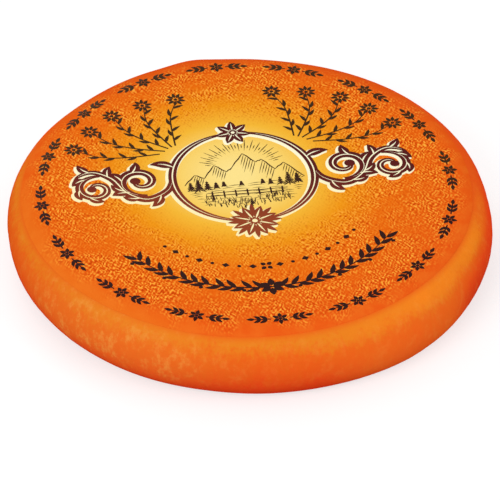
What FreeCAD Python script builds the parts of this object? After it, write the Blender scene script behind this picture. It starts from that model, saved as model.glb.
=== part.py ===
import FreeCAD, Part
import math
import os

# A whole flat wheel of washed-rind cheese, with the round paper label glued on its top.
# Millimetres, +Z up: the wheel rests on z = 0 and its bounding box is centred on the Z axis.
# Bearings are degrees about +Z, counted from +X towards +Y, which is the back.

# The wheel. Its side is one full round: a foot, a widest ring and a shoulder.
wheel_radius = 125.0  # of the widest ring, before the swells
wheel_height = 39.0  # of the rim, the highest ring of the top
widest_height = 18.0  # of the widest ring above the base
foot_width = 14.0  # how far the round runs in from the widest ring down to the base
shoulder_width = 19.0  # and how far it runs in up to the rim
dish_depth = 1.2  # how far the middle of the top lies below the rim
level_radius = 6.0  # of the level spot in the middle of the top

# Turned and rubbed by hand, the wheel isn't quite round. A swell is (bearing, rise, half-width
# in degrees) of the widest ring, and a hollow is a swell with a rise below nothing.
swells = [
    (106.0, 2.6, 4.5),
    (116.0, 0.6, 8.0),
    (140.0, -0.9, 8.0),
    (-171.0, -0.4, 6.0),
    (-120.0, 0.4, 12.0),
    (-100.0, -0.4, 7.0),
    (-46.0, 1.7, 12.0),
    (8.0, -1.3, 10.0),
    (50.0, 0.7, 8.0),
    (81.0, -0.8, 6.0),
]

# The label follows the top and just turns over the shoulder.
label_margin = 10.0  # from the label's edge out to the widest ring
label_shift = 2.0  # of the label's middle from the wheel's, towards -X
label_thickness = 0.3

# Each ring is a closed curve through one point at each of these bearings.
ring_points = 72
bearings = [360.0 * i / ring_points for i in range(ring_points)]
foot_rings = 7
shoulder_rings = 8
label_rings = 18
sewing_gap = 0.001


def outline(bearing):
    """The radius of the widest ring at a bearing, with the swells."""
    radius = wheel_radius
    for centre, rise, half_width in swells:
        away = (bearing - centre + 180.0) % 360.0 - 180.0
        radius += rise * math.exp(-0.5 * (away / half_width) ** 2)
    return radius


def place(bearing, radius, height):
    """The point at a bearing, a radius and a height."""
    turn = math.radians(bearing)
    return FreeCAD.Vector(radius * math.cos(turn), radius * math.sin(turn), height)


def foot_point(bearing, share):
    """A point of the lower side: share 0 is on the base and 1 on the widest ring."""
    turn = share * math.pi / 2
    radius = outline(bearing) - foot_width * (1.0 - math.sin(turn))
    return place(bearing, radius, widest_height * (1.0 - math.cos(turn)))


def top_point(bearing, share):
    """A point of the upper side: share 0 is on the widest ring, 1 on the rim, 2 at the level spot."""
    rim = outline(bearing) - shoulder_width
    if share <= 1.0:
        turn = share * math.pi / 2
        rise = (wheel_height - widest_height) * math.sin(turn)
        return place(bearing, rim + shoulder_width * math.cos(turn), widest_height + rise)
    out = 2.0 - share
    height = wheel_height - dish_depth * (1.0 - out**2) ** 2
    return place(bearing, level_radius + (rim - level_radius) * out, height)


def top_share(bearing, radius):
    """The share of top_point that lies at a radius."""
    rim = outline(bearing) - shoulder_width
    if radius > rim:
        return math.acos((radius - rim) / shoulder_width) * 2 / math.pi
    return 2.0 - (radius - level_radius) / (rim - level_radius)


def label_share(bearing):
    """The share of top_point at which the label's edge, a circle beside the axis, is met."""
    turn = math.radians(bearing)
    label_radius = wheel_radius - label_margin
    across = label_shift * math.sin(turn)
    reach = math.sqrt(label_radius**2 - across**2) - label_shift * math.cos(turn)
    return top_share(bearing, reach)


def ring(points):
    """A closed curve through one point at each bearing, with even steps between them."""
    curve = Part.BSplineCurve()
    steps = [float(i) for i in range(ring_points + 1)]
    curve.interpolate(Points=points, PeriodicFlag=True, Parameters=steps)
    return Part.Wire([curve.toShape()])


def side_face():
    """The bare rind, from the base ring up to the label's edge."""
    rings = []
    for i in range(foot_rings):
        rings.append(ring([foot_point(b, i / foot_rings) for b in bearings]))
    for i in range(shoulder_rings + 1):
        rings.append(ring([top_point(b, label_share(b) * i / shoulder_rings) for b in bearings]))
    return rings[0], Part.makeLoft(rings, False, False).Faces


def covered_face():
    """The top under the label, from the label's edge in to the ring round the level spot."""
    rings = []
    for i in range(label_rings + 1):
        inward = i / label_rings
        shares = [label_share(b) * (1.0 - inward) + 2.0 * inward for b in bearings]
        rings.append(ring([top_point(b, share) for b, share in zip(bearings, shares)]))
    return rings[0], rings[-1], Part.makeLoft(rings, False, False).Faces


def sewn_solid(faces):
    """The solid that the faces close round."""
    shell = Part.makeCompound(faces)
    shell.sewShape(sewing_gap)
    solid = Part.makeSolid(shell.Shells[0])
    if solid.Volume < 0:
        solid.reverse()
    return solid


base_ring, side = side_face()
label_edge, level_ring, covered = covered_face()
level_spot = [Part.Face(level_ring)]
wheel = sewn_solid([Part.Face(base_ring)] + side + covered + level_spot)

thickness = FreeCAD.Vector(0, 0, label_thickness)
under = covered + level_spot
upper = [face.translated(thickness) for face in under]
label = sewn_solid(under + upper + label_edge.extrude(thickness).Faces)

box = wheel.optimalBoundingBox(False)
to_middle = FreeCAD.Vector(-box.Center.x, -box.Center.y, 0)
nodes = {"cheese_wheel": wheel, "top_label": label}

os.makedirs("parts", exist_ok=True)
for name, solid in nodes.items():
    placed = solid.translated(to_middle)
    placed.exportStep(f"parts/{name}.step")
    size = placed.optimalBoundingBox(False)
    counts = f"{len(placed.Solids)} solid, {len(placed.Faces)} faces, valid {placed.isValid()}"
    extent = f"{size.XLength:.2f} x {size.YLength:.2f} x {size.ZLength:.2f} mm"
    print(f"{name}: {counts}, {placed.Volume / 1000:.2f} ml, {extent}")
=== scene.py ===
import math
import random

import bpy
from mathutils import Matrix, Vector


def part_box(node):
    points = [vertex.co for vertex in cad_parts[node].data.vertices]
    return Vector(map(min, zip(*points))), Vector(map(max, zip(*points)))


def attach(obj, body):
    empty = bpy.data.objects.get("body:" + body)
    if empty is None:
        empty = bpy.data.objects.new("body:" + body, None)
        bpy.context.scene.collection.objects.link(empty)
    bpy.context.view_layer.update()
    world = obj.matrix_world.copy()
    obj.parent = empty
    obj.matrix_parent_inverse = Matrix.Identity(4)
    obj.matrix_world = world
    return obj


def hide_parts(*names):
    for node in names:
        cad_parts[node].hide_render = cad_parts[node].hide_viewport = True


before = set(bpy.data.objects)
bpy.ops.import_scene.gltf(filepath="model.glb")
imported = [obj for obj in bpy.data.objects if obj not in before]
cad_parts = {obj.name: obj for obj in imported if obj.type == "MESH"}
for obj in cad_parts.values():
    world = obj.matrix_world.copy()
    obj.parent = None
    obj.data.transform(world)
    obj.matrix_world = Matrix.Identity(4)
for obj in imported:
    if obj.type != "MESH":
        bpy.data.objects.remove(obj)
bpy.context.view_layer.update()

# ---------------------------------------------------------------- sizes, in metres

MM = 0.001

# The label's place comes from its part in model.glb, and the wheel's axis and radius from the label's.
label_low, label_high = (Vector(corner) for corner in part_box("top_label"))
_, wheel_high = (Vector(corner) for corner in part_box("cheese_wheel"))
label_centre = (label_low + label_high) / 2
label_radius = (label_high.x - label_low.x) / 2
label_shift = 2 * MM
label_margin = 10 * MM
axis = Vector((label_centre.x + label_shift, label_centre.y, 0))

SIZES = {
    "Wheel radius": label_radius + label_margin,
    "Wheel height": wheel_high.z,
    "Widest height": 18 * MM,
    "Foot width": 14 * MM,
    "Shoulder width": 19 * MM,
    "Dish depth": 1.2 * MM,
    "Level radius": 6 * MM,
}

# Swells of the widest ring: the bearing in degrees, the rise in millimetres, the half-width in degrees.
SWELLS = [
    (106, 2.6, 4.5),
    (116, 0.6, 8),
    (140, -0.9, 8),
    (-171, -0.4, 6),
    (-120, 0.4, 12),
    (-100, -0.4, 7),
    (-46, 1.7, 12),
    (8, -1.3, 10),
    (50, 0.7, 8),
    (81, -0.8, 6),
]

paper_thickness = 0.15 * MM
paper_wave = 0.04 * MM
ink_depth = 0.03 * MM
golden_ratio = (math.sqrt(5) - 1) / 2
print_turn = math.radians(9.5)

# The radius of the ring of small marks, in millimetres like every drawn stroke.
mark_ring = 105.0


# ---------------------------------------------------------------- node expressions


class Value:
    """A number that varies over a surface. An expression on Values adds its Math nodes."""

    def __init__(self, nodes, socket):
        self.nodes = nodes
        self.socket = socket

    def __add__(self, other):
        return self.nodes.math("ADD", self, other)

    def __radd__(self, other):
        return self.nodes.math("ADD", other, self)

    def __sub__(self, other):
        return self.nodes.math("SUBTRACT", self, other)

    def __rsub__(self, other):
        return self.nodes.math("SUBTRACT", other, self)

    def __mul__(self, other):
        return self.nodes.math("MULTIPLY", self, other)

    def __rmul__(self, other):
        return self.nodes.math("MULTIPLY", other, self)

    def __truediv__(self, other):
        return self.nodes.math("DIVIDE", self, other)

    def __pow__(self, other):
        return self.nodes.math("POWER", self, other)

    def clamped(self):
        """The same number, kept from 0 to 1."""
        return self.nodes.math("MINIMUM", self.nodes.math("MAXIMUM", self, 0.0), 1.0)


class Nodes:
    """A node tree being built, of a material or of a Geometry Nodes modifier."""

    def __init__(self, tree):
        self.tree = tree

    def add(self, kind, settings={}, sockets={}):
        """Adds a node: its settings are set first, then its sockets are given numbers or links."""
        node = self.tree.nodes.new(kind)
        for name, setting in settings.items():
            if name == "stops":
                fill_ramp(node.color_ramp, setting)
            else:
                setattr(node, name, setting)
        for name, given in sockets.items():
            if isinstance(given, Value):
                given = given.socket
            if isinstance(given, bpy.types.NodeSocket):
                self.tree.links.new(given, node.inputs[name])
            else:
                node.inputs[name].default_value = given
        return node

    def math(self, operation, *numbers):
        node = self.add("ShaderNodeMath", {"operation": operation}, dict(enumerate(numbers)))
        return Value(self, node.outputs[0])

    def step(self, value, low, high):
        """A smooth step from 0 at low to 1 at high."""
        settings = {"interpolation_type": "SMOOTHSTEP"}
        node = self.add("ShaderNodeMapRange", settings, {"Value": value, "From Min": low, "From Max": high})
        return Value(self, node.outputs[0])

    def vector(self, x, y, z):
        return self.add("ShaderNodeCombineXYZ", {}, {"X": x, "Y": y, "Z": z}).outputs[0]

    def split(self, vector):
        node = self.add("ShaderNodeSeparateXYZ", {}, {"Vector": vector})
        return [Value(self, socket) for socket in node.outputs]

    def noise(self, vector, size, detail=2.0, roughness=0.5):
        """Soft noise about 0.5, whose lumps are about size across."""
        sockets = {
            "Vector": vector,
            "Scale": 1 / size,
            "Detail": detail,
            "Roughness": roughness,
        }
        return Value(self, self.add("ShaderNodeTexNoise", {}, sockets).outputs[0])

    def mixed(self, share, first, second):
        """A colour that runs from first to second as share goes from 0 to 1."""
        sockets = {0: share, 6: first, 7: second}
        return self.add("ShaderNodeMix", {"data_type": "RGBA"}, sockets).outputs[2]

    def ramp(self, share, stops):
        return self.add("ShaderNodeValToRGB", {"stops": stops}, {"Fac": share}).outputs[0]


def colour(code):
    """Linear red, green, blue and alpha of a #rrggbb code."""
    shares = [int(code[i : i + 2], 16) / 255 for i in (1, 3, 5)]
    linear = [s / 12.92 if s <= 0.04045 else ((s + 0.055) / 1.055) ** 2.4 for s in shares]
    return (*linear, 1.0)


def fill_ramp(ramp, stops):
    """Gives a new ramp its stops, each a place and a #rrggbb code."""
    while len(ramp.elements) < len(stops):
        ramp.elements.new(1.0)
    for element, (place, code) in zip(ramp.elements, stops):
        element.position = place
        element.color = colour(code)


# ---------------------------------------------------------------- the cheese's own surface


def outline(nodes, size, bearing):
    """The radius of the widest ring at a bearing in radians, with the swells."""
    radius = size["Wheel radius"]
    for centre, rise, half_width in SWELLS:
        turn = nodes.math("WRAP", bearing - math.radians(centre), math.pi, -math.pi)
        away = turn / math.radians(half_width)
        radius = radius + nodes.math("EXPONENT", away * away * -0.5) * (rise * MM)
    return radius


def top_height(nodes, size, x, y):
    """The height of the cheese's top at a place beside its axis, and on down the shoulder."""
    radius = nodes.math("SQRT", x * x + y * y)
    rim = outline(nodes, size, nodes.math("ARCTAN2", y, x)) - size["Shoulder width"]
    out = ((radius - size["Level radius"]) / (rim - size["Level radius"])).clamped()
    over = ((radius - rim) / size["Shoulder width"]).clamped()
    dish = size["Dish depth"] * (1 - out * out) ** 2
    drop = (size["Wheel height"] - size["Widest height"]) * (1 - nodes.math("SQRT", 1 - over * over))
    return size["Wheel height"] - dish - drop


def paper_height(nodes, size, x, y):
    """The height of the label's upper face, which waves a little on the soft cheese."""
    place = nodes.vector(x, y, 0.0)
    wave = (nodes.noise(place, 38 * MM, 1.0) - 0.5) * (2 * paper_wave)
    return top_height(nodes, size, x, y) + paper_thickness + wave


# ---------------------------------------------------------------- Geometry Nodes


class Tree(Nodes):
    """A Geometry Nodes tree with named inputs."""

    def __init__(self, name, numbers):
        super().__init__(bpy.data.node_groups.new(name, "GeometryNodeTree"))
        sockets = self.tree.interface
        sockets.new_socket("Geometry", in_out="INPUT", socket_type="NodeSocketGeometry")
        sockets.new_socket("Geometry", in_out="OUTPUT", socket_type="NodeSocketGeometry")
        for label, number in numbers.items():
            kind = "NodeSocketInt" if isinstance(number, int) else "NodeSocketFloat"
            sockets.new_socket(label, in_out="INPUT", socket_type=kind)
        sockets.new_socket("Material", in_out="INPUT", socket_type="NodeSocketMaterial")
        self.entry = self.tree.nodes.new("NodeGroupInput")
        self.numbers = numbers
        self.size = {label: Value(self, self.entry.outputs[label]) for label in numbers}

    def position(self):
        return self.split(self.add("GeometryNodeInputPosition").outputs[0])

    def moved(self, geometry, place=None, offset=None):
        sockets = {"Geometry": geometry}
        if place is not None:
            sockets["Position"] = place
        if offset is not None:
            sockets["Offset"] = offset
        return self.add("GeometryNodeSetPosition", {}, sockets).outputs[0]

    def closed(self, geometry):
        """Merges the points that meet at seams, tips and poles."""
        sockets = {"Geometry": geometry, "Distance": 0.002 * MM}
        return self.add("GeometryNodeMergeByDistance", {}, sockets).outputs[0]

    def finish(self, geometry):
        """Ends the tree."""
        real = self.add("GeometryNodeRealizeInstances", {}, {"Geometry": geometry}).outputs[0]
        sockets = {"Geometry": real, "Material": self.entry.outputs["Material"]}
        painted = self.add("GeometryNodeSetMaterial", {}, sockets).outputs[0]
        self.add("NodeGroupOutput", {}, {"Geometry": painted})

    def grow(self, name, start, material):
        """A new piece: the tree's result on the start object, which is used up."""
        modifier = start.modifiers.new("grow", "NODES")
        modifier.node_group = self.tree
        for item in self.tree.interface.items_tree:
            if item.in_out == "INPUT" and item.name in self.numbers:
                modifier[item.identifier] = self.numbers[item.name]
            if item.in_out == "INPUT" and item.name == "Material":
                modifier[item.identifier] = material
        graph = bpy.context.evaluated_depsgraph_get()
        mesh = bpy.data.meshes.new_from_object(start.evaluated_get(graph))
        mesh.name = name
        mesh.shade_smooth()
        mesh.set_sharp_from_angle(angle=math.radians(50))
        piece = bpy.data.objects.new(name, mesh)
        bpy.context.collection.objects.link(piece)
        bpy.data.objects.remove(start)
        return piece


def empty_start():
    """An object with an empty mesh, for a tree that makes its own geometry."""
    start = bpy.data.objects.new("start", bpy.data.meshes.new("start"))
    bpy.context.collection.objects.link(start)
    return start


def shared_rows(row, first, count):
    """The share from 0 to 1 of a run of rows that a row has passed."""
    return ((row - float(first)) / float(count)).clamped()


def wheel_tree():
    """The whole wheel as one grid, rolled round its axis: base, foot, shoulder and top."""
    around, base, foot, shoulder, top = 720, 8, 26, 32, 12
    rows = base + foot + shoulder + top
    tree = Tree("turned wheel", SIZES)
    size = tree.size
    grid = tree.add(
        "GeometryNodeMeshGrid",
        {},
        {"Size X": 1.0, "Size Y": 1.0, "Vertices X": around + 1, "Vertices Y": rows + 1},
    ).outputs[0]
    across, along, _ = tree.position()
    bearing = (across + 0.5) * (2 * math.pi)
    row = (along + 0.5) * float(rows)
    on_foot = shared_rows(row, base, foot) * (math.pi / 2)
    on_shoulder = shared_rows(row, base + foot, shoulder) * (math.pi / 2)
    inward = shared_rows(row, base + foot + shoulder, top)
    edge = outline(tree, size, bearing)
    rim = edge - size["Shoulder width"]
    base_radius = (edge - size["Foot width"]) * shared_rows(row, 0, base)
    low_radius = base_radius + size["Foot width"] * tree.math("SINE", on_foot)
    radius = low_radius - size["Shoulder width"] * (1 - tree.math("COSINE", on_shoulder)) - rim * inward
    low_height = size["Widest height"] * (1 - tree.math("COSINE", on_foot))
    high_height = (size["Wheel height"] - size["Widest height"]) * tree.math("SINE", on_shoulder)
    left = (1 - inward) ** 2
    dish = size["Dish depth"] * (1 - left) ** 2
    place = tree.vector(
        radius * tree.math("COSINE", bearing) + axis.x,
        radius * tree.math("SINE", bearing) + axis.y,
        low_height + high_height - dish,
    )
    shaped = tree.closed(tree.moved(grid, place=place))

    # Relief goes inwards only: slow lumps, and fine streaks that run up the side. The label's seat is plain.
    x, y, z = tree.position()
    here = tree.vector(x, y, z)
    streaks = tree.noise(tree.vector(x, y, z * 0.22), 4.5 * MM, 2.0)
    lumps = tree.noise(here, 24 * MM, 2.0)
    depth = lumps * (0.4 * MM) + streaks * (0.3 * MM)
    seat_margin, seat_foot = 7 * MM, 24 * MM
    off_base = tree.step(z, 0.2 * MM, 6 * MM)
    from_label = tree.math("SQRT", (x - label_centre.x) ** 2 + (y - label_centre.y) ** 2) - label_radius
    off_label = tree.step(from_label, 0.0, seat_margin) + tree.step(seat_foot - z, 0.0, 4 * MM)
    depth = depth * off_label.clamped() + 0.03 * MM
    normal = tree.add("GeometryNodeInputNormal").outputs[0]
    inwards = tree.add(
        "ShaderNodeVectorMath",
        {"operation": "SCALE"},
        {"Vector": normal, "Scale": depth * off_base * -1.0},
    ).outputs[0]
    tree.finish(tree.moved(shaped, offset=inwards))
    return tree


def paper_tree():
    """The label as one closed skin: its lower face, its cut edge and its upper face."""
    around, rings = 480, 56
    tree = Tree("paper disc", SIZES | {"Label radius": label_radius})
    size = tree.size
    rows = 2 * rings + 1
    grid = tree.add(
        "GeometryNodeMeshGrid",
        {},
        {"Size X": 1.0, "Size Y": 1.0, "Vertices X": around + 1, "Vertices Y": rows + 1},
    ).outputs[0]
    across, along, _ = tree.position()
    bearing = (across + 0.5) * (2 * math.pi)
    row = (along + 0.5) * float(rows)
    share = shared_rows(row, 0, rings) - shared_rows(row, rings + 1, rings)
    upper = shared_rows(row, rings, 1)
    radius = size["Label radius"] * share
    x = radius * tree.math("COSINE", bearing) + (label_centre.x - axis.x)
    y = radius * tree.math("SINE", bearing) + (label_centre.y - axis.y)
    low = top_height(tree, size, x, y)
    high = paper_height(tree, size, x, y)
    place = tree.vector(x + axis.x, y + axis.y, low + (high - low) * upper)
    tree.finish(tree.closed(tree.moved(grid, place=place)))
    return tree


# ---------------------------------------------------------------- drawing the print

# Every drawn shape is a stroke: a list of (x, y) points in millimetres and the half-width at each.


def smooth_path(corners, steps=8):
    """A smooth path through corner points."""
    ends = [corners[0], *corners, corners[-1]]
    path = []
    for before, start, end, after in zip(ends, ends[1:], ends[2:], ends[3:]):
        for i in range(steps):
            t = i / steps
            point = []
            for p0, p1, p2, p3 in zip(before, start, end, after):
                bend = 2 * p0 - 5 * p1 + 4 * p2 - p3
                point.append(p1 + 0.5 * t * (p2 - p0 + t * (bend + t * (3 * p1 - p0 - 3 * p2 + p3))))
            path.append(tuple(point))
    path.append(tuple(corners[-1]))
    return path


def away(start, heading, length):
    """The point at a length from the start along a heading in degrees."""
    turn = math.radians(heading)
    return (start[0] + length * math.cos(turn), start[1] + length * math.sin(turn))


def arc(centre, radius, start, end, steps=24):
    """Points along a circle's arc between two headings in degrees."""
    return [away(centre, start + (end - start) * i / steps, radius) for i in range(steps + 1)]


def tapered(path, width, start=0.15, end=0.15, swell=0.6):
    """A stroke along a path: its ends are shares of its width, its belly is at a share of its length."""
    last = len(path) - 1
    halves = []
    for i in range(len(path)):
        t = i / last
        side = t / swell if t < swell else (1 - t) / (1 - swell)
        least = start if t < swell else end
        halves.append(width / 2 * (least + (1 - least) * math.sin(side * math.pi / 2)))
    return path, halves


def line(start, end, width, near=0.6, far=0.1, swell=0.3):
    """A straight stroke."""
    middle = ((start[0] + end[0]) / 2, (start[1] + end[1]) / 2)
    return tapered([start, middle, end], width, near, far, swell)


def leaf(base, heading, length, width, bend=0.0, steps=9):
    """A pointed leaf from its base along a heading in degrees; bend turns its tip, in degrees."""
    path = [base]
    for i in range(steps):
        path.append(away(path[-1], heading + bend * (i + 0.5) / steps, length / steps))
    halves = [width / 2 * math.sin(math.pi * (i / steps) ** 0.8) ** 0.9 for i in range(steps + 1)]
    return path, halves


def disc(centre, radius, steps=8):
    """A round spot."""
    turns = [math.pi * i / steps for i in range(steps + 1)]
    path = [(centre[0] - radius * math.cos(t), centre[1]) for t in turns]
    return path, [radius * math.sin(t) for t in turns]


def lozenge(centre, length, width, heading=0.0):
    """A diamond, whose length lies along the heading."""
    path = [away(centre, heading, -length / 2), centre, away(centre, heading, length / 2)]
    return path, [0.0, width / 2, 0.0]


def spiral(centre, outer, inner, start, turn, steps=40):
    """Points that wind from an outer to an inner radius, from a start angle through a turn, in degrees."""
    shares = [i / steps for i in range(steps + 1)]
    return [away(centre, start + turn * t, outer + (inner - outer) * t**0.85) for t in shares]


def flower(centre, inner, outer, petals, width, turn=0.0):
    """Petals round a centre."""
    headings = [turn + 360 * i / petals for i in range(petals)]
    return [leaf(away(centre, h, inner), h, outer - inner, width) for h in headings]


def leaves_along(path, shares, side, length, width, lean=35.0, bend=40.0):
    """Leaves that grow from a path at shares of its length, on its left (side 1) or right (-1)."""
    drawn = []
    last = len(path) - 1
    for share in shares:
        i = min(int(share * last), last - 1)
        (x0, y0), (x1, y1) = path[i], path[i + 1]
        heading = math.degrees(math.atan2(y1 - y0, x1 - x0)) + side * lean
        drawn.append(leaf((x0, y0), heading, length, width, side * bend))
    return drawn


def mirrored(strokes):
    """The strokes and their mirror images across the y axis."""
    return strokes + [([(-x, y) for x, y in path], halves) for path, halves in strokes]


def veins(leaves, width, share=0.72):
    """A fine line along the middle of each leaf."""
    drawn = []
    for path, _ in leaves:
        count = int(len(path) * share)
        drawn.append(tapered(path[:count], width, 0.3, 0.1, 0.3))
    return drawn


def cartouche():
    """A round frame between two pairs of scrolls: (the bold strokes, the fine lines on them)."""
    stem = smooth_path([(36, 4), (40, -6.5), (51, -12.5), (61, -6), (67, 6), (76, 12.5), (84, 10), (88, 3)])
    first = spiral((53, 2.5), 12.2, 2.6, -100, 470)
    second = spiral((76, -1.5), 11.0, 2.4, 105, -460)
    leaves = leaves_along(first, (0.11, 0.23, 0.35), -1, 9.6, 5.4, 35, 50)
    leaves += leaves_along(second, (0.11, 0.23, 0.35), 1, 8.6, 5.0, 35, -50)
    leaves += leaves_along(stem, (0.34, 0.46), -1, 9.0, 5.0, 40, -45)
    leaves += leaves_along(stem, (0.62, 0.75), 1, 9.0, 4.8, 40, 45)
    leaves.append(leaf((34.6, 12), 46, 13, 5.6, -60))
    leaves.append(leaf((44, -10), -84, 11, 5.2, 55))
    half = [tapered(stem, 5.2, 0.5, 0.1, 0.35)]
    half.append(tapered(first, 5.0, 0.35, 0.4, 0.25))
    half.append(disc(first[-1], 2.8))
    half.append(tapered(second, 4.4, 0.35, 0.4, 0.25))
    half.append(disc(second[-1], 2.5))
    frame_arc = arc((0, 0), 36.5, -77, 79, 44)
    half.append(tapered(frame_arc, 4.2, 0.4, 0.4, 0.5))
    crown = flower((0, 37), 1.8, 9.5, 7, 4.4, 90)
    root = flower((0, -37), 2.4, 12.5, 8, 4.8, 22.5)
    sepals = flower((0, -37), 6.0, 14.0, 8, 2.6, 0)
    bold = mirrored(half + leaves) + crown + root + sepals
    bold += [disc((0, 37), 2.2, 8), disc((0, -37), 3.2, 10)]
    fine = mirrored(veins(leaves, 0.8)) + veins(root, 0.9, 0.8) + veins(crown, 0.7, 0.8)
    fine += mirrored([tapered(stem[4:-8], 0.7, 0.1, 0.1), tapered(first[2:-4], 0.7, 0.1, 0.1)])
    fine += mirrored([tapered(second[2:-4], 0.65, 0.1, 0.1)])
    fine += mirrored([tapered(frame_arc[2:-2], 0.7, 0.1, 0.1)])
    fine += [disc((0, 37), 1.0, 6), disc((0, -37), 1.4, 8)]
    return bold, fine


def fir(foot, height, rng):
    """A fir tree of short boughs down both sides of its trunk."""
    x, y = foot
    drawn = [line((x, y), (x, y + height), 0.65, 1.0, 0.2, 0.1)]
    tiers = max(4, int(height / 1.5))
    for i in range(tiers):
        level = y + height * (0.16 + 0.8 * i / tiers)
        reach = height * 0.27 * (1 - i / tiers) + 0.4
        for side in (-1, 1):
            droop = reach * rng.uniform(0.45, 0.7)
            tip = (x + side * reach * rng.uniform(0.85, 1.1), level - droop)
            middle = (x + side * reach * 0.5, level - droop * 0.35)
            drawn.append(tapered([(x, level + 0.5), middle, tip], 1.0, 0.9, 0.15, 0.3))
    return drawn


def ridge_height(peaks, x):
    """The height of the mountains' outline at a place."""
    for (x0, y0), (x1, y1) in zip(peaks, peaks[1:]):
        if x0 <= x <= x1:
            return y0 + (y1 - y0) * (x - x0) / (x1 - x0)
    return 0.0


def mountains(rng):
    """A range of peaks, shaded with slanting lines on their right flanks."""
    peaks = [(-31, -4), (-25, 4), (-20, 1), (-14, 11), (-8, 5), (-5, 8), (2, 19), (8, 11), (11, 13)]
    peaks += [(17, 4), (22, 9), (31, -4)]
    drawn = []
    for (x0, y0), (x1, y1) in zip(peaks, peaks[1:]):
        near = ((2 * x0 + x1) / 3, (2 * y0 + y1) / 3 + 0.4)
        far = ((x0 + 2 * x1) / 3, (y0 + 2 * y1) / 3 - 0.3)
        drawn.append(tapered([(x0, y0), near, far, (x1, y1)], 0.8, 0.5, 0.5))
    for (x0, y0), (x1, y1) in zip(peaks, peaks[1:]):
        count = int((x1 - x0) / 0.95) if y1 < y0 else 0
        for i in range(count):
            x = x0 + (x1 - x0) * (i + 0.5) / count
            top = ridge_height(peaks, x) - 0.8
            length = (3.5 + 9 * (y0 + 4) / 23) * rng.uniform(0.6, 1.0)
            foot = (x - length * 0.32, max(top - length, -5))
            drawn.append(line((x, top), foot, 0.5))
    return drawn


def sun_rays(rng):
    """Long and short rays above the tallest peak."""
    drawn = []
    for i in range(31):
        heading = 14 + 152 * i / 30
        near, far = (14.5, 23.5) if i % 2 else (16.5, 19.5)
        start = away((1, 7), heading, near)
        drawn.append(line(start, away((1, 7), heading, far + rng.uniform(-1, 1)), 0.65, 0.1, 0.3, 0.8))
    return drawn


def pasture(rng):
    """Sloping meadow lines, a rail fence and grass at the mountains' feet, inside the frame."""
    drawn = []
    for row in range(8):
        y = -6.5 - 2.0 * row
        reach = math.sqrt(31**2 - y**2)
        x = -reach
        while x < reach - 2:
            end = min(x + rng.uniform(4, 10), reach)
            rise = [0.7 * math.sin(place / 9 + row) for place in (x, end)]
            path = [(x, y + rise[0]), ((x + end) / 2, y + sum(rise) / 2 + 0.4), (end, y + rise[1])]
            drawn.append(tapered(path, 0.45, 0.1, 0.1, 0.5))
            x = end + rng.uniform(1.0, 3.5)
    for i in range(7):
        drawn.append(line((-18 + 6 * i, -16), (-17.9 + 6 * i, -10.4), 0.95, 0.9, 0.8, 0.5))
    for y in (-11.8, -14.2):
        drawn.append(tapered([(-21, y), (-7, y + 0.3), (7, y - 0.2), (21, y)], 0.65, 0.6, 0.6))
    for i in range(110):
        x = rng.uniform(-22, 22)
        y = rng.uniform(-27, -20) + abs(x) * 0.22
        lean = rng.uniform(-1.4, 1.4)
        drawn.append(tapered([(x, y), (x + lean * 0.3, y + 1.7), (x + lean, y + 3.6)], 0.5, 1.0, 0.1, 0.1))
    return drawn


def mountain_view():
    """Mountains, firs and a fenced meadow."""
    rng = random.Random(7)
    drawn = mountains(rng) + sun_rays(rng) + pasture(rng)
    firs = [(-28, -9, 8), (-24, -10, 11), (-19.5, -9, 8), (-15, -8, 5.5), (-11, -7, 4.5)]
    firs += [(27, -9, 9), (22.5, -10, 11.5), (18, -9, 7), (13, -8, 5), (-2, -7, 3.6), (9, -7, 4)]
    for x, y, height in firs:
        drawn += fir((x, y), height, rng)
    return drawn


def flowering_sprays():
    """Fans of stems above the scrolls, with narrow leaves and open flowers."""
    drawn = []
    stems = [
        [(31, 41), (31, 53), (30, 66), (25, 79)],
        [(33, 40), (39, 52), (43, 63), (43, 76)],
        [(35, 39), (47, 48), (55, 57), (60, 69)],
        [(37, 37), (52, 41), (64, 47), (73, 57)],
        [(40, 35), (57, 34), (71, 36), (83, 43)],
    ]
    for number, corners in enumerate(stems):
        path = smooth_path(corners, 7)
        drawn.append(tapered(path, 0.9, 1.0, 0.4, 0.1))
        shares = [0.16 + 0.11 * i for i in range(7)]
        drawn += leaves_along(path, shares[::2], 1, 6.4, 1.9, 32, 30)
        drawn += leaves_along(path, shares[1::2], -1, 6.4, 1.9, 32, -30)
        drawn += flower(away(path[-1], 60, 1), 1.4, 5.4, 9, 1.9, 10 * number)
        drawn.append(disc(away(path[-1], 60, 1), 1.0, 5))
    return mirrored(drawn)


def leaf_garland():
    """A swag of leaves and small flowers in front of the frame, and a row of beads inside it."""
    drawn = []
    path = arc((0, 0), 80, -90, -34, 40)
    drawn.append(tapered(path, 1.0, 1.0, 0.3, 0.1))
    shares = [0.06 + 0.085 * i for i in range(11)]
    drawn += leaves_along(path, shares, 1, 8.2, 2.7, 34, 26)
    drawn += leaves_along(path, [share + 0.03 for share in shares], -1, 8.2, 2.7, 34, -26)
    drawn += [disc(away(path[int(share * 40)], -20, 4.6), 1.1, 6) for share in shares[1::3]]
    for i in range(1, 9):
        spot = away((0, 0), -90 + 6.2 * i, 63)
        drawn.append(lozenge(spot, 4.0, 3.4, 6.2 * i) if i % 2 else disc(spot, 1.0, 6))
    drawn = mirrored(drawn)
    drawn += flower((0, -80), 1.0, 6.6, 6, 3.6, 30)
    drawn += flower((0, -63), 0.8, 3.8, 4, 2.4, 45)
    return drawn


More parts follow.
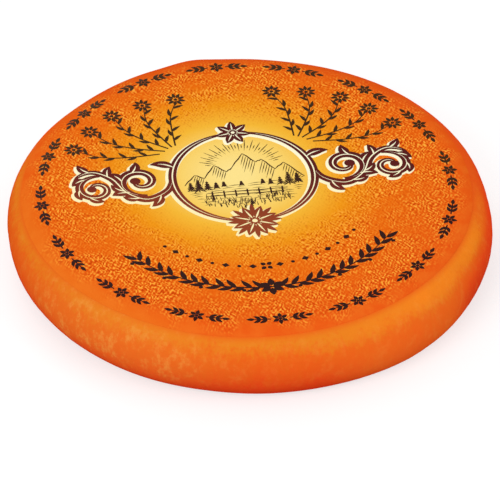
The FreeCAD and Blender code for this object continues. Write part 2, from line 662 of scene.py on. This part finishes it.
def ring_mark():
    """A small flower between two leafy sprigs, that reads the same from both sides."""
    drawn = flower((0, 0), 0.8, 4.2, 6, 2.1, 30)
    drawn.append(disc((0, 0), 0.9, 5))
    for side, outwards in ((-1, 180), (1, 0)):
        drawn.append(line((side * 4.6, 0), (side * 13.5, 0), 0.9, 0.8, 0.5))
        drawn.append(leaf((side * 12.6, 0), outwards, 4.2, 2.0))
        for reach, length in ((6.4, 4.8), (9.6, 4.4)):
            for lean in (-48, 48):
                drawn.append(leaf((side * reach, 0), outwards + lean, length, 1.9, -lean * 0.6))
    return drawn


# ---------------------------------------------------------------- laying print on the label


def bent(strokes, radius):
    """The strokes with their x axis bent round a circle below them."""
    drawn = []
    for path, halves in strokes:
        curved = [
            ((radius + y) * math.sin(x / radius), (radius + y) * math.cos(x / radius) - radius)
            for x, y in path
        ]
        drawn.append((curved, halves))
    return drawn


def stroke_curves(strokes):
    """A curve object with one spline for each stroke, its half-width as the radius."""
    curves = bpy.data.curves.new("strokes", "CURVE")
    curves.dimensions = "3D"
    for path, halves in strokes:
        spline = curves.splines.new("POLY")
        spline.points.add(len(path) - 1)
        for point, (x, y), half in zip(spline.points, path, halves):
            point.co = (x * MM, y * MM, 0, 1)
            point.radius = max(half, 0.02) * MM
    start = bpy.data.objects.new("strokes", curves)
    bpy.context.collection.objects.link(start)
    return start


def ink_tree(columns, lift, spread=0.0, shift=(0.0, 0.0), place=(0.0, 11.0), copies=1, ring_radius=0.0):
    """Turns strokes into thin closed slabs of ink, which lie on the label wherever it curves.

    Lengths are in millimetres. Copies stand on a ring round the place, the first one at its back.
    """
    numbers = SIZES | {
        "Columns": columns + 1,
        "Lift": lift * MM,
        "Spread": spread * MM,
        "Height room": 0.03 * MM,
        "Copies": copies,
        "Ring radius": ring_radius * MM,
    }
    tree = Tree("printed ink", numbers)
    size = tree.size
    strokes = tree.entry.outputs["Geometry"]
    flat = tree.add("GeometryNodeSetCurveNormal", {"mode": "Z_UP"}, {"Curve": strokes}).outputs[0]
    width = Value(tree, tree.add("GeometryNodeInputRadius").outputs[0]) + size["Spread"]
    line = tree.add("GeometryNodeCurvePrimitiveLine", {}, {"Start": (-1, 0, 0), "End": (1, 0, 0)}).outputs[0]
    section = tree.add("GeometryNodeResampleCurve", {}, {"Curve": line, "Count": size["Columns"]}).outputs[0]
    sockets = {"Curve": flat, "Profile Curve": section, "Scale": width}
    ribbon = tree.add("GeometryNodeCurveToMesh", {}, sockets).outputs[0]

    order = Value(tree, tree.add("GeometryNodeInputIndex").outputs[0])
    bearing = order * (2 * math.pi) / size["Copies"] + math.pi / 2
    spot = tree.vector(
        size["Ring radius"] * tree.math("COSINE", bearing),
        size["Ring radius"] * tree.math("SINE", bearing),
        0.0,
    )
    spots = tree.add("GeometryNodePoints", {}, {"Count": size["Copies"], "Position": spot}).outputs[0]
    facing = tree.vector(0.0, 0.0, bearing - math.pi / 2)
    sockets = {"Points": spots, "Instance": ribbon, "Rotation": facing}
    copied = tree.add("GeometryNodeInstanceOnPoints", {}, sockets).outputs[0]
    flat_print = tree.add("GeometryNodeRealizeInstances", {}, {"Geometry": copied}).outputs[0]

    # The print is turned about the label's middle, then laid just inside the paper.
    x, y, _ = tree.position()
    u = x + (place[0] + shift[0]) * MM
    v = y + (place[1] + shift[1]) * MM
    sine, cosine = math.sin(print_turn), math.cos(print_turn)
    from_axis_x = u * cosine - v * sine + (label_centre.x - axis.x)
    from_axis_y = u * sine + v * cosine + (label_centre.y - axis.y)
    height = paper_height(tree, size, from_axis_x, from_axis_y) - ink_depth
    laid = tree.moved(flat_print, place=tree.vector(from_axis_x + axis.x, from_axis_y + axis.y, height))
    # Strokes that cross at one height would mottle each other, so each stroke has its own. Steps by
    # the golden ratio keep strokes that are drawn one after another well apart.
    island = Value(tree, tree.add("GeometryNodeInputMeshIsland").outputs["Island Index"])
    own_height = tree.math("FRACT", island * golden_ratio) * size["Height room"]
    rise = size["Lift"] + own_height + ink_depth
    sockets = {"Mesh": laid, "Offset": tree.vector(0.0, 0.0, rise), "Individual": False}
    raised = tree.add("GeometryNodeExtrudeMesh", {"mode": "FACES"}, sockets).outputs[0]
    under = tree.add("GeometryNodeFlipFaces", {}, {"Mesh": laid}).outputs[0]
    join = tree.add("GeometryNodeJoinGeometry")
    for part in (raised, under):
        tree.tree.links.new(part, join.inputs[0])
    tree.finish(tree.closed(join.outputs[0]))
    return tree


# ---------------------------------------------------------------- materials


def new_material(name):
    """A material's nodes, with the default ones removed."""
    material = bpy.data.materials.new(name)
    material.use_nodes = True
    material.node_tree.nodes.clear()
    return material, Nodes(material.node_tree)


def finished(nodes, constants, links):
    """Ends a material with one Principled shader: constants, then what varies over the surface."""
    shader = nodes.add("ShaderNodeBsdfPrincipled", {}, constants | links)
    nodes.add("ShaderNodeOutputMaterial", {}, {"Surface": shader.outputs[0]})


# The rind's colours. The first is a run from the foot up to the shoulder, whose deep red foot is partly
# painted shade and whose golden top is partly a painted highlight.
RIND = {
    "side": [(0.05, "#fa401b"), (0.25, "#f44a1b"), (0.45, "#f05a1b"), (0.7, "#eb641b"), (0.88, "#e78020")],
    "golden shoulder and painted highlight": "#fb861f",
    "painted shade at the right foot": "#c23a18",
    "lighter foot": "#ff7d28",
    "thin smear and painted light": "#f28a30",
    "specks": "#f4a94c",
    "dye by the label": "#ea5c1a",
    "back": "#f0561c",
    "underside": "#d96a22",
    "pale underside": "#e48c3c",
    "mat print": "#bc4f18",
}

# The paper's colours. The first is a run from the middle of the glow outwards.
PAPER = {
    "glow": [
        (0.05, "#ffe48f"),
        (0.21, "#fbd46c"),
        (0.33, "#f7ba38"),
        (0.45, "#f29818"),
        (0.6, "#ec6e11"),
        (0.9, "#e95d14"),
    ],
    "edge": "#ea5a18",
    "front left edge": "#ec7820",
    "blush": "#f07e26",
    "back edge": "#de4a14",
    "dark flecks": "#c43a08",
    "pale flecks": "#ffae3c",
}


def rind():
    """Smear-washed rind: golden round the shoulder, orange down the side, brick red at the foot. The gold is
    partly a painted highlight, the red foot partly painted shade, and the right side is darkened with painted
    shade.
    """
    material, nodes = new_material("washed rind")
    place = nodes.add("ShaderNodeTexCoord").outputs["Object"]
    x, y, z = nodes.split(place)
    east = (x - axis.x) / SIZES["Wheel radius"]
    north = (y - axis.y) / SIZES["Wheel radius"]
    from_label = nodes.math("SQRT", (x - label_centre.x) ** 2 + (y - label_centre.y) ** 2) - label_radius

    def facing(to_east, to_north, low, high):
        """1 where the rind faces a way, given by its shares of east and north, and 0 away from there."""
        return nodes.step(east * to_east + north * to_north, low, high)

    # The colour runs down the side, darker towards the foot partly as painted shade, and slow smears and
    # upright streaks shift it up and down.
    smears = nodes.noise(nodes.vector(x, y, z * 0.6), 17 * MM, 3.0) - 0.5
    streaks = nodes.noise(nodes.vector(x, y, z * 0.16), 3.4 * MM, 3.0) - 0.5
    brushed = nodes.noise(nodes.vector(x, y, z * 0.45), 1.5 * MM, 2.0) - 0.5
    redder_back = facing(0.25, 1.0, -0.1, 0.4)
    at_right = facing(0.99, -0.14, 0.87, 0.97)
    # Painted shade: the right side is made darker below the shoulder.
    shaded_right_side = at_right * (1 - nodes.step(z, 26 * MM, 35 * MM))
    drop = redder_back * 0.5 + shaded_right_side * 0.33
    level = z / SIZES["Wheel height"] + smears * 0.26 + streaks * 0.12 + brushed * 0.25 - drop
    ground = nodes.ramp(level, RIND["side"])

    # Towards the right the shoulder is brighter, partly golden rind and partly a painted highlight, and
    # painted shade turns the foot a deep brick red past a lighter stretch.
    to_right = facing(0.91, -0.41, 0.6, 0.98)
    right_gold_and_highlight = to_right * nodes.step(z, 29 * MM, 35 * MM) * (0.62 + smears * 1.2 + brushed * 0.5)
    ground = nodes.mixed(right_gold_and_highlight, ground, colour(RIND["golden shoulder and painted highlight"]))
    shaded_right_foot = at_right * (1 - nodes.step(z, 12 * MM, 32 * MM)) * 0.5
    ground = nodes.mixed(shaded_right_foot, ground, colour(RIND["painted shade at the right foot"]))
    thin_right = facing(0.77, -0.64, 0.8, 0.97) * (1 - at_right)
    lighter_foot = thin_right * (0.45 - nodes.step(z, 8 * MM, 34 * MM) * 0.35)
    ground = nodes.mixed(lighter_foot, ground, colour(RIND["lighter foot"]))

    # Paler, yellower patches where the smear is thin, mostly towards the front left, where the side is also
    # lifted paler, partly as painted light from that side.
    thin_smear_and_light_left = facing(-0.57, -0.82, 0.8, 1.0)
    # Partly painted light: the front left side is lifted paler, more so higher up.
    left_lift_smear_and_light = thin_smear_and_light_left * (0.12 + nodes.step(z, 4 * MM, 18 * MM) * 0.16)
    ground = nodes.mixed(left_lift_smear_and_light, ground, colour(RIND["thin smear and painted light"]))
    specks = nodes.step(nodes.noise(nodes.vector(x, y, z * 0.7), 5 * MM, 5.0, 0.7), 0.47, 0.7)
    on_side = nodes.step(z, 5 * MM, 16 * MM)
    ground = nodes.mixed(specks * on_side * (0.12 + thin_smear_and_light_left * 0.36), ground, colour(RIND["specks"]))
    dye = 1 - nodes.step(from_label, -1.5 * MM, 3.5 * MM)
    ground = nodes.mixed(dye * (0.9 - thin_smear_and_light_left * 0.6), ground, colour(RIND["dye by the label"]))
    ground = nodes.mixed(redder_back * 0.5, ground, colour(RIND["back"]))

    # The underside is flat, paler, and keeps the print of the draining mat.
    under = 1 - nodes.step(z, 0.3 * MM, 1.2 * MM)
    mat_turn = math.pi / (1.8 * MM)
    mat = nodes.math("SINE", x * mat_turn) * nodes.math("SINE", y * mat_turn)
    mat_lines = nodes.step(mat, -0.1, 0.5)
    blotches = nodes.step(nodes.noise(place, 32 * MM, 4.0, 0.6), 0.35, 0.65)
    base_tone = nodes.mixed(blotches, colour(RIND["underside"]), colour(RIND["pale underside"]))
    base_tone = nodes.mixed(mat_lines * 0.45, base_tone, colour(RIND["mat print"]))
    ground = nodes.mixed(under * 0.85, ground, base_tone)

    grain = nodes.noise(place, 1.3 * MM, 4.0, 0.6) + streaks * 0.8 + under * mat_lines * 1.2
    bump = nodes.add(
        "ShaderNodeBump",
        {},
        {"Strength": 0.5, "Distance": 0.25 * MM, "Height": grain},
    ).outputs[0]
    finished(
        nodes,
        {"Specular IOR Level": 0.0},
        {"Base Color": ground, "Roughness": 0.6 + smears * 0.4, "Normal": bump},
    )
    return material


def printed_paper():
    """The label's printed ground: a yellow glow that deepens to red orange, with woven flecks."""
    material, nodes = new_material("printed paper")
    place = nodes.add("ShaderNodeTexCoord").outputs["Object"]
    x, y, _ = nodes.split(place)
    u = (x - label_centre.x) / MM
    v = (y - label_centre.y) / MM
    glow_x, glow_y, glow_reach = -6.0, 12.0, 130.0
    from_glow = nodes.math("SQRT", (u - glow_x) ** 2 + (v - glow_y) ** 2)
    ground = nodes.ramp(from_glow / glow_reach, PAPER["glow"])
    from_edge = label_radius / MM - nodes.math("SQRT", u**2 + v**2)
    to_front_left = nodes.step(u * -0.79 - v * 0.61, 75.0, 110.0)
    edge_tone = nodes.mixed(to_front_left, colour(PAPER["edge"]), colour(PAPER["front left edge"]))
    ground = nodes.mixed((1 - nodes.step(from_edge, 0.0, 12.0)) * 0.65, ground, edge_tone)
    blush = nodes.step(nodes.noise(place, 9 * MM, 4.0, 0.6), 0.4, 0.65)
    ground = nodes.mixed((1 - nodes.step(from_edge, 2.0, 18.0)) * blush * 0.3, ground, colour(PAPER["blush"]))
    at_back = nodes.step(v, 35.0, 105.0) * (1 - nodes.step(from_edge, 0.0, 22.0))
    ground = nodes.mixed(at_back * 0.5, ground, colour(PAPER["back edge"]))

    # Pale and dark flecks in crossing rows, like coarse linen, come and go in loose patches.
    turn = math.radians(12)
    bend_u = (nodes.noise(place, 11 * MM, 2.0) - 0.5) * 7.0
    bend_v = (nodes.noise(nodes.vector(x, y, 50 * MM), 11 * MM, 2.0) - 0.5) * 7.0
    warp = u * math.cos(turn) + v * math.sin(turn) + bend_u
    weft = v * math.cos(turn) - u * math.sin(turn) + bend_v
    warp_pitch, weft_pitch = 1.0, 1.6
    warp_wave = nodes.math("SINE", warp * (math.pi / warp_pitch))
    weft_wave = nodes.math("SINE", weft * (math.pi / weft_pitch))
    weave = warp_wave * weft_wave
    threads = nodes.noise(nodes.vector(warp / 1.15, weft / 2.0, 0.0), 1.0, 2.0, 0.6) + weave * 0.12
    patches = 0.25 + nodes.step(nodes.noise(place, 15 * MM, 4.0, 0.6), 0.36, 0.58) * 0.75
    worn_edge = from_edge + (nodes.noise(place, 13 * MM, 2.0) - 0.5) * 26.0
    patches = patches * nodes.step(from_glow, 34.0, 72.0) * nodes.step(worn_edge, 0.0, 15.0)
    dark_share = (1 - nodes.step(threads, 0.3, 0.5)) * patches * 0.9
    ground = nodes.mixed(dark_share, ground, colour(PAPER["dark flecks"]))
    ground = nodes.mixed(nodes.step(threads, 0.5, 0.66) * patches, ground, colour(PAPER["pale flecks"]))
    bump = nodes.add(
        "ShaderNodeBump",
        {},
        {"Strength": 0.25, "Distance": 0.05 * MM, "Height": nodes.noise(place, 0.6 * MM, 2.0)},
    ).outputs[0]
    finished(
        nodes,
        {"Roughness": 0.6, "Specular IOR Level": 0.0},
        {"Base Color": ground, "Normal": bump},
    )
    return material


def ink(name, stops):
    """Printing ink, whose colour runs from the front of the label's print to its back."""
    material, nodes = new_material(name)
    place = nodes.add("ShaderNodeTexCoord").outputs["Object"]
    _, y, _ = nodes.split(place)
    front, back = -40.0, 40.0
    wear = nodes.noise(place, 1.4 * MM, 3.0)
    share = ((y - label_centre.y) / MM - front) / (back - front) + (wear - 0.5) * 0.12
    finished(
        nodes,
        {"Roughness": 0.5, "Specular IOR Level": 0.04},
        {"Base Color": nodes.ramp(share, stops)},
    )
    return material


def brown_ink():
    return ink("brown ink", [(0.2, "#93401f"), (0.42, "#7c2c18"), (0.62, "#5c1611"), (0.9, "#521210")])


def cream_ink():
    return ink("cream ink", [(0.2, "#fff0b4"), (0.8, "#fffad6")])


def dark_ink():
    return ink("dark ink", [(0.2, "#2c0f0b"), (0.5, "#33160c"), (0.8, "#3a2208")])


# ---------------------------------------------------------------- pieces

rind_finish = rind()
paper_finish = printed_paper()

wheel = wheel_tree().grow("whole_cheese", empty_start(), rind_finish)
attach(wheel, "root")
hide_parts("cheese_wheel")

paper = paper_tree().grow("label_paper", empty_start(), paper_finish)
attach(paper, "root")
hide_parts("top_label")

bold_strokes, fine_lines = cartouche()
brown, cream, dark = brown_ink(), cream_ink(), dark_ink()
prints = {
    "cartouche_edging": (
        bold_strokes,
        cream,
        {"columns": 4, "lift": 0.042, "spread": 0.8, "shift": (-0.9, -1.1)},
    ),
    "cartouche": (bold_strokes, brown, {"columns": 4, "lift": 0.074}),
    "cartouche_lines": (fine_lines, cream, {"columns": 1, "lift": 0.106}),
    "mountain_view": (mountain_view(), dark, {"columns": 1, "lift": 0.01}),
    "flowering_sprays": (flowering_sprays(), dark, {"columns": 1, "lift": 0.01, "place": (0, 0)}),
    "leaf_garland": (leaf_garland(), dark, {"columns": 2, "lift": 0.01, "place": (0, 0)}),
    "ring_marks": (
        bent(ring_mark(), mark_ring),
        dark,
        {"columns": 2, "lift": 0.01, "place": (0, 0), "copies": 16, "ring_radius": mark_ring},
    ),
}
for name, (strokes, finish, layout) in prints.items():
    piece = ink_tree(**layout).grow("print_" + name, stroke_curves(strokes), finish)
    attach(piece, "root")


# ---------------------------------------------------------------- floor, light and camera


def shown_plainly(nodes):
    """1 for what the camera sees, straight or by gloss or through glass, and 0 for light on things."""
    path = nodes.add("ShaderNodeLightPath")
    kinds = ("Is Camera Ray", "Is Glossy Ray", "Is Transmission Ray")
    camera, glossy, through = (Value(nodes, path.outputs[kind]) for kind in kinds)
    return (camera + glossy + through).clamped()


def pale_floor():
    """A wide white floor that shows as white and keeps the object's shadow."""
    material, nodes = new_material("pale floor")
    lit = nodes.add("ShaderNodeBsdfDiffuse", {}, {"Color": (0.46, 0.46, 0.46, 1.0)})
    # The lamps light the floor near the object, so the far floor glows a little more.
    x, y, _ = nodes.split(nodes.add("ShaderNodeTexCoord").outputs["Object"])
    lamplit, unlit = 0.45, 1.3
    far = nodes.step(nodes.math("SQRT", x * x + y * y), lamplit, unlit)
    tone = nodes.mixed(far, colour("#cecece"), colour("#e4e4e4"))
    glow = nodes.add("ShaderNodeEmission", {}, {"Color": tone, "Strength": shown_plainly(nodes)})
    both = nodes.add("ShaderNodeAddShader", {}, {0: lit.outputs[0], 1: glow.outputs[0]})
    nodes.add("ShaderNodeOutputMaterial", {}, {"Surface": both.outputs[0]})
    mesh = bpy.data.meshes.new("floor")
    reach = 6.0
    low = -0.05 * MM
    corners = [(-reach, -reach, low), (reach, -reach, low), (reach, reach, low), (-reach, reach, low)]
    mesh.from_pydata(corners, [], [(0, 1, 2, 3)])
    mesh.materials.append(material)
    floor = bpy.data.objects.new("floor", mesh)
    bpy.context.collection.objects.link(floor)


def white_world(strength):
    """An even white surround that shows as plain white."""
    world = bpy.data.worlds.new("surround")
    bpy.context.scene.world = world
    world.use_nodes = True
    world.node_tree.nodes.clear()
    nodes = Nodes(world.node_tree)
    shown = shown_plainly(nodes)
    level = shown + (1 - shown) * strength
    light = nodes.add("ShaderNodeBackground", {}, {"Color": (1.0, 1.0, 1.0, 1.0), "Strength": level})
    nodes.add("ShaderNodeOutputWorld", {}, {"Surface": light.outputs[0]})


def aimed(place, target, roll=0.0):
    """The turn of a lamp or camera at a place that looks at a target."""
    turn = (Vector(target) - Vector(place)).to_track_quat("-Z", "Y")
    return (Matrix.Translation(place) @ turn.to_matrix().to_4x4()) @ Matrix.Rotation(roll, 4, "Z")


def soft_lamp(name, place, target, width, power):
    lamp = bpy.data.lights.new(name, "AREA")
    lamp.shape = "DISK"
    lamp.size = width
    lamp.energy = power
    holder = bpy.data.objects.new(name, lamp)
    bpy.context.collection.objects.link(holder)
    holder.matrix_world = aimed(place, target)


pale_floor()
white_world(0.6)
middle = axis + Vector((0, 0, SIZES["Wheel height"] / 2))
soft_lamp("key", (-0.6, -1.05, 0.75), middle, 0.9, 8.0)
soft_lamp("fill", (1.05, -0.45, 0.55), middle, 0.9, 4.0)
soft_lamp("rim", (-0.5, 1.1, 0.6), middle, 0.9, 5.0)

# The camera stands far off with a long lens, 38 degrees up, and is turned a little about its view.
camera_distance = 2.0
camera_rise = math.radians(38.3)
camera_roll = math.radians(0.87)
camera_aim = 16.4 * MM
back = Vector((0, -math.cos(camera_rise), math.sin(camera_rise)))
upward = Vector((0, math.sin(camera_rise), math.cos(camera_rise)))
lens = bpy.data.cameras.new("camera")
lens.sensor_width = 36
lens.lens = 281
camera = bpy.data.objects.new("camera", lens)
bpy.context.collection.objects.link(camera)
camera.matrix_world = aimed(middle + back * camera_distance, middle - upward * camera_aim, camera_roll)
bpy.context.scene.camera = camera
bpy.context.scene.view_settings.view_transform = "Standard"
